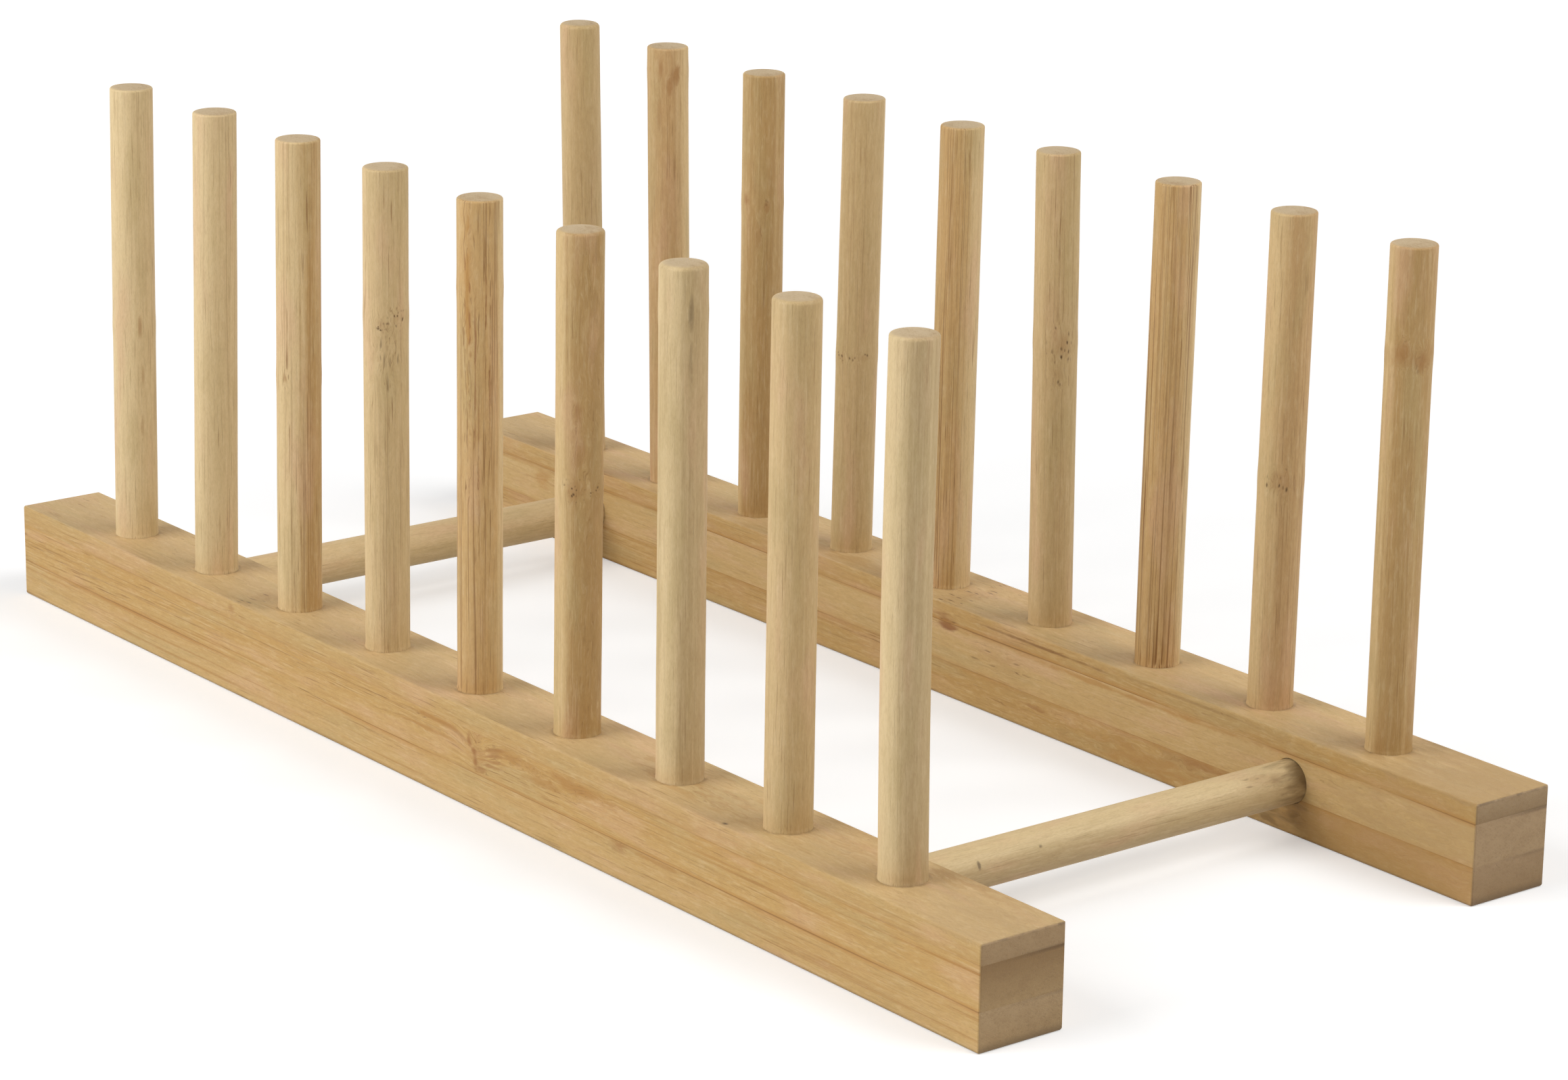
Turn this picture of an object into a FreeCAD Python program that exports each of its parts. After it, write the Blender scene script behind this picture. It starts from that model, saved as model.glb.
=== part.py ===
"""Bamboo plate rack: two glue-laminated rails, a row of pegs on each, and two spreader dowels.

The rails lie along X, the front one on the -Y side, and stand on Z = 0. The origin is under the
middle of the rack. Plates stand in the slots between neighbouring pegs, across both rails.
Each strip, peg and spreader is a solid of its own and is written to parts/ under its own name.
"""

import FreeCAD, Part
import os

# Pegs, in millimetres like every size below
PEG_COUNT = 9                # pegs on each rail
PEG_PITCH = 34.0             # from one peg's axis to the next
PEG_DIAMETER = 9.4
PEG_STAND = 102.4            # height of a peg above its rail
PEG_BASE_BITE = 1.0          # a peg crosses its rail's two glue lines and ends this deep in the base strip
PEG_TOP_ROUND = 0.5          # sanded round at the free end

# Rails
RAIL_WIDTH = 20.0
RAIL_SPACING = 124.5         # between the two rails' centre lines
END_MARGIN = 34.0            # from the rail's end to its outermost peg
BASE_STRIP = 8.0             # thickness of the strip that stands on the table
CORE_STRIP = 8.8
FACE_STRIP = 4.2             # thinned when the top of the laminated bar is planed
RAIL_EDGE_ROUND = 0.5        # along the four long edges
RAIL_END_CHAMFER = 0.35      # round the two sawn ends

# Spreaders
SPREADER_DIAMETER = 9.2
SPREADER_AXIS_HEIGHT = 11.2  # above the table
SPREADER_SOCKET_DEPTH = 12.0

# Glued joints
GLUE_GAP = 0.12              # radial room between a dowel and the wall of its socket
DOWEL_LEAD = 0.8             # chamfer on each dowel end that is driven into a socket

# Worked out from the sizes above
PEG_RUN = PEG_PITCH * (PEG_COUNT - 1)
RAIL_LENGTH = PEG_RUN + 2 * END_MARGIN
RAIL_HEIGHT = BASE_STRIP + CORE_STRIP + FACE_STRIP
PEG_SOCKET_DEPTH = FACE_STRIP + CORE_STRIP + PEG_BASE_BITE
PEG_LENGTH = PEG_STAND + PEG_SOCKET_DEPTH
PEG_PLACES = [index * PEG_PITCH - PEG_RUN / 2 for index in range(PEG_COUNT)]
SPREADER_PLACE = PEG_RUN / 2 - PEG_PITCH / 2
SPREADER_LENGTH = RAIL_SPACING - RAIL_WIDTH + 2 * SPREADER_SOCKET_DEPTH

AXIS_X = FreeCAD.Vector(1, 0, 0)
AXIS_Y = FreeCAD.Vector(0, 1, 0)
AXIS_Z = FreeCAD.Vector(0, 0, 1)
FULL_TURN = 360              # degrees
QUARTER_TURN = 90
PARALLEL_WITHIN = 1e-6       # radians


def turned(profile):
    """Turn a closed half profile, drawn in the XZ plane, about the Z axis."""
    return Part.Face(Part.Wire(profile)).revolve(FreeCAD.Vector(), AXIS_Z, FULL_TURN)


def line(start, end):
    """A straight edge in the XZ plane from (radius, height) to (radius, height)."""
    (start_radius, start_height), (end_radius, end_height) = start, end
    return Part.LineSegment(
        FreeCAD.Vector(start_radius, 0, start_height),
        FreeCAD.Vector(end_radius, 0, end_height),
    ).toShape()


def quarter_round(radius, height, rounding):
    """The outward quarter arc that rounds the upper corner at (radius, height)."""
    corner = FreeCAD.Vector(radius - rounding, 0, height - rounding)
    circle = Part.Circle(corner, -AXIS_Y, rounding)
    on_side = FreeCAD.Vector(radius, 0, height - rounding)
    on_top = FreeCAD.Vector(radius - rounding, 0, height)
    return Part.ArcOfCircle(circle, circle.parameter(on_side), circle.parameter(on_top)).toShape()


def peg():
    """One peg on the Z axis, its chamfered foot at Z = 0 and its sanded round at the top."""
    radius = PEG_DIAMETER / 2
    return turned([
        line((0, 0), (radius - DOWEL_LEAD, 0)),
        line((radius - DOWEL_LEAD, 0), (radius, DOWEL_LEAD)),
        line((radius, DOWEL_LEAD), (radius, PEG_LENGTH - PEG_TOP_ROUND)),
        quarter_round(radius, PEG_LENGTH, PEG_TOP_ROUND),
        line((radius - PEG_TOP_ROUND, PEG_LENGTH), (0, PEG_LENGTH)),
        line((0, PEG_LENGTH), (0, 0)),
    ])


def spreader():
    """One spreader dowel along Y, chamfered at both ends and centred on the X axis."""
    radius = SPREADER_DIAMETER / 2
    dowel = turned([
        line((0, 0), (radius - DOWEL_LEAD, 0)),
        line((radius - DOWEL_LEAD, 0), (radius, DOWEL_LEAD)),
        line((radius, DOWEL_LEAD), (radius, SPREADER_LENGTH - DOWEL_LEAD)),
        line((radius, SPREADER_LENGTH - DOWEL_LEAD), (radius - DOWEL_LEAD, SPREADER_LENGTH)),
        line((radius - DOWEL_LEAD, SPREADER_LENGTH), (0, SPREADER_LENGTH)),
        line((0, SPREADER_LENGTH), (0, 0)),
    ])
    dowel.rotate(FreeCAD.Vector(), AXIS_X, -QUARTER_TURN)
    dowel.translate(FreeCAD.Vector(0, -SPREADER_LENGTH / 2, 0))
    return dowel


def runs_lengthwise(edge):
    """Whether a straight edge runs along the rail."""
    return edge.tangentAt(edge.FirstParameter).isParallel(AXIS_X, PARALLEL_WITHIN)


def faces_lengthwise(face):
    """Whether a face looks along the rail, as its two sawn ends do."""
    return face.normalAt(0, 0).isParallel(AXIS_X, PARALLEL_WITHIN)


def planed_bar():
    """The rail's bar, centred on the Z axis: long edges rounded, sawn ends chamfered."""
    corner = FreeCAD.Vector(-RAIL_LENGTH / 2, -RAIL_WIDTH / 2, 0)
    bar = Part.makeBox(RAIL_LENGTH, RAIL_WIDTH, RAIL_HEIGHT, corner)
    bar = bar.makeFillet(RAIL_EDGE_ROUND, list(filter(runs_lengthwise, bar.Edges)))
    sawn_ends = filter(faces_lengthwise, bar.Faces)
    return bar.makeChamfer(RAIL_END_CHAMFER, [edge for end in sawn_ends for edge in end.Edges])


def bored_rail(inward):
    """The bar with its peg sockets from above and its spreader sockets from the inner side.

    inward is +1 where the inner side faces +Y, as on the front rail, and -1 on the rear one.
    """
    socket_floor = RAIL_HEIGHT - PEG_SOCKET_DEPTH
    peg_sockets = [
        Part.makeCylinder(
            PEG_DIAMETER / 2 + GLUE_GAP,
            PEG_SOCKET_DEPTH,
            FreeCAD.Vector(place, 0, socket_floor),
            AXIS_Z,
        )
        for place in PEG_PLACES
    ]
    inner_side = inward * RAIL_WIDTH / 2
    spreader_sockets = [
        Part.makeCylinder(
            SPREADER_DIAMETER / 2 + GLUE_GAP,
            SPREADER_SOCKET_DEPTH,
            FreeCAD.Vector(place, inner_side, SPREADER_AXIS_HEIGHT),
            AXIS_Y * -inward,
        )
        for place in (-SPREADER_PLACE, SPREADER_PLACE)
    ]
    return planed_bar().cut(peg_sockets + spreader_sockets)


def strips(rail):
    """The rail parted along its glue lines into named strips, from the table upwards."""
    parted = {}
    floor = 0.0
    for name, thickness in (("base", BASE_STRIP), ("core", CORE_STRIP), ("face", FACE_STRIP)):
        layer = Part.makeBox(
            RAIL_LENGTH,
            RAIL_WIDTH,
            thickness,
            FreeCAD.Vector(-RAIL_LENGTH / 2, -RAIL_WIDTH / 2, floor),
        )
        parted[name] = rail.common(layer)
        floor += thickness
    return parted


def placed(shape, x, y, z):
    """A copy of the shape, moved by (x, y, z)."""
    copy = shape.copy()
    copy.translate(FreeCAD.Vector(x, y, z))
    return copy


def rack():
    """Every piece of the rack in its place, by node name."""
    pieces = {}
    for side, inward in (("front", 1), ("rear", -1)):
        rail_line = -inward * RAIL_SPACING / 2
        for layer, strip in strips(bored_rail(inward)).items():
            pieces[f"{side}_rail_{layer}_strip"] = placed(strip, 0, rail_line, 0)
        for number, place in enumerate(PEG_PLACES, start=1):
            foot = RAIL_HEIGHT - PEG_SOCKET_DEPTH
            pieces[f"{side}_peg_{number}"] = placed(peg(), place, rail_line, foot)
    for side, place in (("left", -SPREADER_PLACE), ("right", SPREADER_PLACE)):
        pieces[f"{side}_spreader"] = placed(spreader(), place, 0, SPREADER_AXIS_HEIGHT)
    return pieces


def main():
    """Build the rack and write one STEP file for each piece."""
    os.makedirs("parts", exist_ok=True)
    for name, shape in rack().items():
        solids = shape.Solids
        assert len(solids) == 1 and solids[0].isValid(), f"{name} is not one valid solid"
        solids[0].exportStep(os.path.join("parts", f"{name}.step"))


main()
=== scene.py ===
"""Looks of a bamboo plate rack: laminated rails, pegs and spreader dowels in natural, unvarnished bamboo.

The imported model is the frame. The rails' strips keep their solids and get a bamboo finish. Each peg and
spreader is replaced by a stick with the lean, bow and irregular section of a real bamboo dowel.
Everything is in metres in the rack's own frame: rails along X, front rail at -Y, table at Z = 0.
"""

import logging
import math
from dataclasses import dataclass
from enum import Enum
from functools import reduce
from typing import Union

import bpy
import numpy as np
from mathutils import Matrix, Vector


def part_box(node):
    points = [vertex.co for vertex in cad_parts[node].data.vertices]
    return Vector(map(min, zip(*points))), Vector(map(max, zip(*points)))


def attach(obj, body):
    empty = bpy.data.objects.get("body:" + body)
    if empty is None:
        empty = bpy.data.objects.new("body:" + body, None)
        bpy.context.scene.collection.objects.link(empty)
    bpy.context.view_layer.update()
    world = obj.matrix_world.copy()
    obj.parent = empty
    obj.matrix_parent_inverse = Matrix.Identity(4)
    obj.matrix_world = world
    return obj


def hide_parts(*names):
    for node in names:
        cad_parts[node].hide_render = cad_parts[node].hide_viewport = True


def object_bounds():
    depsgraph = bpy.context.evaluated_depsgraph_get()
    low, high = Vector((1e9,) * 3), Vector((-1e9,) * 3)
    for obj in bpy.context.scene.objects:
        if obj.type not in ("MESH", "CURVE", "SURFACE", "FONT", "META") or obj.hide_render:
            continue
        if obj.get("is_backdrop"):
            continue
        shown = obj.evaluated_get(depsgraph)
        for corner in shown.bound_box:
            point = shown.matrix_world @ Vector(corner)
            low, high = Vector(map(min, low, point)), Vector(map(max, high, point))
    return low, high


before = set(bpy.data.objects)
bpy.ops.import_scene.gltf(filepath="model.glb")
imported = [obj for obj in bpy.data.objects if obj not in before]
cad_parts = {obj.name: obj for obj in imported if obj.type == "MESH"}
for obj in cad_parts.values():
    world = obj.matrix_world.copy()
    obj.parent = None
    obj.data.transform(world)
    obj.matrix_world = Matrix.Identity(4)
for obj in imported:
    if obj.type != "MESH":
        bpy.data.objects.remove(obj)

LOG = logging.getLogger("plate_rack")
MM = 0.001
BODY = "root"
GLUE_GAP = 0.12 * MM  # room round a peg in its hole

Socket = bpy.types.NodeSocket
Value = Union[Socket, float, tuple]
Outputs = bpy.types.bpy_prop_collection


def corners(node: str) -> tuple[np.ndarray, np.ndarray]:
    """The lowest and the highest corner of a node of the frame, in metres."""
    low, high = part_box(node)
    return np.array(low), np.array(high)


def peg_sizes() -> tuple[float, float]:
    """The pegs' pitch and radius, from the boxes of the first two pegs, in metres."""
    (low, high), (next_low, _) = corners("front_peg_1"), corners("front_peg_2")
    return next_low[0] - low[0], (high[0] - low[0]) / 2


PEG_PITCH, PEG_RADIUS = peg_sizes()


def placed(name: str, data: bpy.types.ID) -> bpy.types.Object:
    """Puts a new object in the scene, at the origin.

    Args:
        name: The object's name.
        data: Its mesh, lamp or camera.

    Returns:
        The object.
    """
    made = bpy.data.objects.new(name, data)
    bpy.context.scene.collection.objects.link(made)
    return made


@dataclass(frozen=True)
class Colour:
    """A colour as it is seen, in 8-bit sRGB."""

    red: int
    green: int
    blue: int

    def linear(self) -> tuple[float, float, float, float]:
        """Linear light for a shader socket, by the sRGB curve, with full alpha.

        Returns:
            Red, green, blue and alpha, from 0 to 1.
        """
        shares = [channel / 255 for channel in (self.red, self.green, self.blue)]
        curve = [s / 12.92 if s <= 0.04045 else ((s + 0.055) / 1.055) ** 2.4 for s in shares]
        return (*curve, 1.0)


class Tone(Enum):
    """Tones of a bamboo stick: the pale pith side, and the denser side that lay under the skin."""

    IVORY = (Colour(222, 197, 150), Colour(212, 186, 139))
    CREAM = (Colour(219, 194, 147), Colour(190, 164, 120))
    STRAW = (Colour(216, 188, 140), Colour(203, 176, 128))
    WHEAT = (Colour(217, 190, 141), Colour(187, 151, 97))
    HONEY = (Colour(215, 186, 136), Colour(200, 163, 108))
    AMBER = (Colour(210, 180, 128), Colour(180, 145, 92))
    TAN = (Colour(209, 180, 131), Colour(195, 166, 117))
    BROWN = (Colour(214, 184, 133), Colour(194, 158, 108))

    @property
    def pale(self) -> Colour:
        """The pith side's colour."""
        return self.value[0]

    @property
    def dense(self) -> Colour:
        """The skin side's colour."""
        return self.value[1]


@dataclass(frozen=True)
class StainsAndShades:
    """Colours that marks take on any bamboo piece, some of which are painted shadow or shade, as noted at
    each.
    """

    fibre: Colour = Colour(134, 93, 50)
    fleck: Colour = Colour(232, 210, 170)
    blush: Colour = Colour(214, 172, 136)
    ash: Colour = Colour(186, 163, 112)
    node: Colour = Colour(158, 110, 60)
    speck: Colour = Colour(76, 54, 32)
    amber: Colour = Colour(180, 130, 62)
    figure: Colour = Colour(168, 120, 58)
    glue: Colour = Colour(132, 90, 46)
    rust: Colour = Colour(138, 84, 44)
    # Dirt; at the rails' feet it is also painted contact shade where they meet the table.
    soil_and_shade: Colour = Colour(88, 70, 50)
    # Painted shadow: the rear rail's shadow on the right spreader, and that spreader's shadow on the rear
    # rail.
    shade: Colour = Colour(104, 80, 44)
    sawn: Colour = Colour(128, 98, 64)
    cut_pale: Colour = Colour(189, 166, 130)
    cut_dark: Colour = Colour(165, 137, 98)
    pit: Colour = Colour(98, 70, 40)
    # Painted shade on the rails' tops, along their middles and at their near ends.
    painted_top_shade: Colour = Colour(172, 142, 100)


STAINS_AND_SHADES = StainsAndShades()


class Waves(Enum):
    """Waves per metre across, across and along the fibres, and layers of noise, for each unevenness."""

    WANDER = (75, 75, 12, 1)
    BROAD = (270, 270, 7, 1)
    STREAK = (950, 950, 15, 2)
    BUNDLE = (1450, 1450, 7, 1)
    HAIR = (2700, 2700, 11, 1)
    VESSEL = (3300, 3300, 90, 1)
    GRIT = (7000, 7000, 1100, 1)
    DRIFT = (170, 170, 38, 2)
    MOTTLE = (1500, 1500, 330, 2)
    GATHERING = (330, 330, 6, 1)
    FLOCK = (230, 230, 42, 1)
    LAYER = (45, 900, 10, 2)
    PATCH = (30, 110, 9, 1)
    RAGGED = (560, 560, 150, 2)
    CUT_MOTTLE = (260, 420, 0, 3)
    CUT_GRIT = (3800, 3800, 0, 2)
    SCRATCH = (300, 4600, 0, 1)
    SOIL = (420, 420, 420, 2)
    GLUE = (30, 30, 24, 2)


class Wiring:
    """Adds nodes to one node tree and joins them, so that a shader reads like a formula."""

    SEED_STEP = (0.013, 0.017, 0.111)

    def __init__(self, tree: bpy.types.NodeTree) -> None:
        """Works on the given tree."""
        self.tree = tree

    def feed(self, socket: Socket, value: Value) -> None:
        """Links a socket to another one, or sets its value.

        Args:
            socket: The input to feed.
            value: Another node's output, or a plain value.
        """
        if isinstance(value, Socket):
            self.tree.links.new(value, socket)
        else:
            socket.default_value = value

    def node(self, kind: str, inputs: dict, **settings: object) -> bpy.types.Node:
        """Adds one node.

        Args:
            kind: Blender's name of the node type.
            inputs: Values or outputs for its inputs, by socket name or number.
            settings: Properties to set on the node before its inputs are fed.

        Returns:
            The new node.
        """
        made = self.tree.nodes.new(kind)
        for name, value in settings.items():
            setattr(made, name, value)
        for name, value in inputs.items():
            self.feed(made.inputs[name], value)
        return made

    def math(self, operation: str, first: Value, second: Value = 0.0, third: Value = 0.0) -> Socket:
        """One arithmetic step on numbers."""
        return self.node("ShaderNodeMath", {0: first, 1: second, 2: third}, operation=operation).outputs[0]

    def times(self, *factors: Value) -> Socket:
        """The product of several numbers."""
        return reduce(lambda product, factor: self.math("MULTIPLY", product, factor), factors)

    def ramp(self, value: Value, slope: Value, start: Value) -> Socket:
        """A straight line: the value times the slope, plus the start."""
        return self.math("MULTIPLY_ADD", value, slope, start)

    def swayed(self, base: Value, noise: Value, amount: float) -> Socket:
        """A number moved up and down by a noise about 0.5."""
        return self.ramp(self.math("SUBTRACT", noise, 0.5), amount, base)

    def rise(self, value: Value, low: Value, high: Value) -> Socket:
        """A smooth step: 0 up to low, 1 from high on."""
        settings = {"interpolation_type": "SMOOTHSTEP"}
        return self.node("ShaderNodeMapRange", {0: value, 1: low, 2: high}, **settings).outputs[0]

    def fall(self, value: Value, low: Value, high: Value) -> Socket:
        """A smooth step down: 1 up to low, 0 from high on."""
        return self.math("SUBTRACT", 1.0, self.rise(value, low, high))

    def vector(self, operation: str, first: Value, second: Value = (0.0, 0.0, 0.0)) -> Socket:
        """One arithmetic step on vectors."""
        return self.node("ShaderNodeVectorMath", {0: first, 1: second}, operation=operation).outputs[0]

    def scaled(self, vector: Value, factor: Value) -> Socket:
        """A vector times a number."""
        return self.node("ShaderNodeVectorMath", {0: vector, 3: factor}, operation="SCALE").outputs[0]

    def length(self, vector: Value) -> Socket:
        """How long a vector is."""
        return self.node("ShaderNodeVectorMath", {0: vector}, operation="LENGTH").outputs["Value"]

    def parts(self, vector: Value) -> tuple[Socket, Socket, Socket]:
        """A vector's X, Y and Z."""
        outputs = self.node("ShaderNodeSeparateXYZ", {0: vector}).outputs
        return outputs[0], outputs[1], outputs[2]

    def joined(self, x: Value, y: Value, z: Value) -> Socket:
        """A vector from three numbers."""
        return self.node("ShaderNodeCombineXYZ", {0: x, 1: y, 2: z}).outputs[0]

    def swirl(self, place: Value, waves: Waves) -> bpy.types.Node:
        """Layered noise about 0.5, as a node with a number and a colour.

        Args:
            place: Place in metres.
            waves: How close its waves are, and how many layers it has.

        Returns:
            The noise node.
        """
        across, level, along, layers = waves.value
        stretched = self.vector("MULTIPLY", place, (across, level, along))
        return self.node("ShaderNodeTexNoise", {"Vector": stretched, "Scale": 1.0, "Detail": layers})

    def noise(self, place: Value, waves: Waves) -> Socket:
        """Layered noise about 0.5, as a number."""
        return self.swirl(place, waves).outputs[0]

    def strayed(self, swirl: bpy.types.Node, reach: tuple) -> Socket:
        """A vector that strays about zero with a noise, by up to half the reach."""
        centred = self.vector("SUBTRACT", swirl.outputs["Color"], (0.5, 0.5, 0.5))
        return self.vector("MULTIPLY", centred, reach)

    def seeded(self, place: Value, seed: Value) -> Socket:
        """A place moved to a part of the noise that only one seed uses."""
        return self.vector("ADD", place, self.scaled(self.SEED_STEP, seed))

    def cells(self, place: Value) -> Outputs:
        """The outputs of a pattern of irregular cells, each about one unit wide."""
        return self.node("ShaderNodeTexVoronoi", {"Vector": place, "Scale": 1.0}).outputs

    def mixed(self, share: Value, first: Value, second: Value) -> Socket:
        """A colour between two others."""
        return self.node("ShaderNodeMix", {0: share, 6: first, 7: second}, data_type="RGBA").outputs[2]

    def stained(self, colour: Value, stain: Colour, mask: Value, strength: float = 1.0) -> Socket:
        """A colour under a stain that is as strong as the mask times the strength."""
        return self.mixed(self.times(mask, strength), colour, stain.linear())


class Group:
    """A shader node group under construction, with its own inputs and outputs."""

    KINDS = {"value": "NodeSocketFloat", "vector": "NodeSocketVector", "colour": "NodeSocketColor"}

    def __init__(self, name: str, inputs: dict[str, str], outputs: dict[str, str]) -> None:
        """Makes an empty group.

        Args:
            name: The group's name.
            inputs: Names of its inputs, by kind, with spaces between them.
            outputs: Names of its outputs, in the same way.
        """
        self.tree = bpy.data.node_groups.new(name, "ShaderNodeTree")
        for way, sockets in (("INPUT", inputs), ("OUTPUT", outputs)):
            for kind, labels in sockets.items():
                for label in labels.split():
                    self.tree.interface.new_socket(name=label, in_out=way, socket_type=self.KINDS[kind])
        self.wiring = Wiring(self.tree)
        self.given = self.tree.nodes.new("NodeGroupInput").outputs
        self.result = self.tree.nodes.new("NodeGroupOutput").inputs

    def give(self, **results: Socket) -> None:
        """Joins results to the group's outputs, by name."""
        for label, socket in results.items():
            self.wiring.feed(self.result[label], socket)


class BambooEffects:
    """The effects that every bamboo finish shares, each a node group that is built once.

    Their Grain input is a place in metres whose Z runs along the fibres.
    """

    WANDER_REACH = (1.2 * MM, 1.2 * MM, 0.0)
    SWERVE_REACH = (3 * MM, 3 * MM, 0.0)
    SPECKS = (1250, 1150)  # per metre, across and along the fibres
    CUT_BUNDLES = (1150, 1500, 0)  # per metre
    SAW_SLANT = 0.6  # radians

    def __init__(self) -> None:
        """Builds the groups."""
        self.fibres = self.build_fibres()
        self.mark = self.build_mark()
        self.end_grain = self.build_end_grain()

    def build_fibres(self) -> bpy.types.NodeTree:
        """Fibres: broad bands, streaks, dark bundles and short vessels, all drawn out along the grain.

        Lines is the strength of bundles, threads and vessels. Bands adds long amber lines, flat in the
        grain's second axis, as a sawn strip shows them.

        Returns:
            The group, with the outputs Color, Roughness and Height.
        """
        group = Group(
            "bamboo_fibres",
            {"vector": "Grain", "value": "Seed Skin Lines Bands", "colour": "Pale Dense"},
            {"colour": "Color", "value": "Roughness Height"},
        )
        w, given = group.wiring, group.given
        grain = w.seeded(given["Grain"], given["Seed"])
        grain = w.vector("ADD", grain, w.strayed(w.swirl(grain, Waves.WANDER), self.WANDER_REACH))
        streak, vessel, grit = (w.noise(grain, waves) for waves in (Waves.STREAK, Waves.VESSEL, Waves.GRIT))
        drift, mottle = w.noise(grain, Waves.DRIFT), w.noise(grain, Waves.MOTTLE)

        depth = w.swayed(given["Skin"], w.noise(grain, Waves.BROAD), 1.5)
        depth = w.swayed(depth, streak, 1.2)
        colour = w.mixed(w.rise(depth, 0.0, 1.0), given["Pale"], given["Dense"])
        colour = w.stained(colour, STAINS_AND_SHADES.blush, w.rise(drift, 0.52, 0.75), 0.4)
        colour = w.stained(colour, STAINS_AND_SHADES.ash, w.fall(drift, 0.28, 0.5), 0.4)
        colour = w.stained(colour, STAINS_AND_SHADES.fibre, w.rise(mottle, 0.5, 0.72), 0.09)
        colour = w.stained(colour, STAINS_AND_SHADES.fleck, w.fall(mottle, 0.28, 0.5), 0.14)

        nearer_skin = w.ramp(given["Skin"], 0.6, 0.4)
        gathered = w.rise(w.noise(grain, Waves.GATHERING), 0.38, 0.62)
        bundle = w.times(w.rise(w.noise(grain, Waves.BUNDLE), 0.55, 0.66), nearer_skin, given["Lines"])
        bundle = w.times(bundle, w.ramp(gathered, 0.34, 0.06), w.ramp(vessel, 1.1, 0.1))
        colour = w.stained(colour, STAINS_AND_SHADES.fibre, bundle)
        sparse = w.ramp(given["Lines"], -0.15, 0.66)
        thread = w.rise(w.noise(grain, Waves.HAIR), sparse, w.math("ADD", sparse, 0.09))
        thread = w.times(thread, given["Lines"], given["Lines"], w.ramp(gathered, 0.9, 0.4), nearer_skin)
        colour = w.stained(colour, STAINS_AND_SHADES.fibre, thread)

        layer = w.rise(w.noise(grain, Waves.LAYER), 0.56, 0.70)
        patch = w.rise(w.noise(grain, Waves.PATCH), 0.42, 0.60)
        colour = w.stained(colour, STAINS_AND_SHADES.figure, w.times(layer, patch, given["Bands"]))

        dash = w.rise(vessel, 0.61, 0.74)
        flock = w.rise(w.noise(grain, Waves.FLOCK), 0.42, 0.66)
        dashed = w.times(dash, w.ramp(given["Lines"], 0.9, 0.05), w.ramp(flock, 0.9, 0.25))
        colour = w.stained(colour, STAINS_AND_SHADES.fibre, dashed)
        colour = w.stained(colour, STAINS_AND_SHADES.fleck, w.fall(vessel, 0.3, 0.42), 0.15)
        colour = w.stained(colour, STAINS_AND_SHADES.fibre, w.rise(grit, 0.4, 0.75), 0.14)

        height = w.ramp(dash, -0.8, w.ramp(grit, 0.5, streak))
        height = w.ramp(w.math("ADD", bundle, thread), -0.4, height)
        group.give(Color=colour, Roughness=w.ramp(streak, 0.2, 0.5), Height=height)
        return group.tree

    def build_mark(self) -> bpy.types.NodeTree:
        """A mark in the bamboo, such as a node: a ragged stain, dark specks in it, fibres that swerve or dip.

        The stain fills an ellipsoid: the length of (Grain - Centre) times Shrink, made ragged by noise, is
        under 1 in it. An axis whose Shrink is 0 doesn't limit it.

        Returns:
            The group, with the outputs Stain, Specks and Bent, which is the Grain with swerved fibres.
        """
        group = Group(
            "bamboo_mark",
            {"vector": "Grain Centre Shrink", "value": "Seed Dip Dash"},
            {"value": "Stain Specks", "vector": "Bent"},
        )
        w, given = group.wiring, group.given
        grain = w.seeded(given["Grain"], given["Seed"])
        off = w.vector("MULTIPLY", w.vector("SUBTRACT", given["Grain"], given["Centre"]), given["Shrink"])
        ragged = w.swirl(grain, Waves.RAGGED)
        away = w.swayed(w.length(off), ragged.outputs[0], 1.8)

        warp = w.vector("MULTIPLY", ragged.outputs["Color"], (1.6, 1.6, 1.2))
        across, along = self.SPECKS
        stretch = w.joined(across, across, w.math("DIVIDE", along, given["Dash"]))
        cell = w.cells(w.vector("ADD", w.vector("MULTIPLY", grain, stretch), warp))
        pick, size, _ = w.parts(cell["Color"])
        speck = w.fall(cell["Distance"], 0.08, w.ramp(size, 0.28, 0.26))
        specks = w.times(speck, w.rise(pick, 0.28, 0.34), w.fall(away, 0.8, 1.2))

        swerve = w.scaled(w.strayed(ragged, self.SWERVE_REACH), w.fall(away, 0.2, 2.0))
        _, level, ahead = w.parts(off)
        nearness = w.math("MAXIMUM", w.ramp(w.math("ABSOLUTE", ahead), -0.3, 1.0), 0.0)
        drop = w.times(nearness, nearness, w.rise(level, -1.1, 0.5), given["Dip"])
        bent = w.vector("ADD", w.vector("ADD", given["Grain"], swerve), w.joined(0, drop, 0))
        group.give(Stain=w.fall(away, 0.2, 1.05), Specks=specks, Bent=bent)
        return group.tree

    def build_end_grain(self) -> bpy.types.NodeTree:
        """End grain: cut fibre bundles as dark dots, denser on the skin side, with fine saw scratches.

        Returns:
            The group, with the output Color.
        """
        group = Group(
            "bamboo_end_grain",
            {"vector": "Grain", "value": "Seed Skin Contrast", "colour": "Pale Dense"},
            {"colour": "Color"},
        )
        w, given = group.wiring, group.given
        across = w.vector("MULTIPLY", w.seeded(given["Grain"], given["Seed"]), (1.0, 1.0, 0.0))
        cell = w.cells(w.vector("MULTIPLY", across, self.CUT_BUNDLES))
        aslant = {"Vector": across, "Angle": self.SAW_SLANT}
        turned = w.node("ShaderNodeVectorRotate", aslant, rotation_type="Z_AXIS").outputs[0]
        depth = w.swayed(given["Skin"], w.noise(across, Waves.CUT_MOTTLE), 1.3)
        depth = w.ramp(w.fall(cell["Distance"], 0.18, 0.5), 0.34, depth)
        depth = w.swayed(depth, w.noise(across, Waves.CUT_GRIT), 0.9)
        depth = w.swayed(depth, w.noise(turned, Waves.SCRATCH), 0.7)
        shade = w.times(w.rise(depth, -0.1, 1.1), given["Contrast"])
        group.give(Color=w.mixed(shade, given["Pale"], given["Dense"]))
        return group.tree


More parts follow.
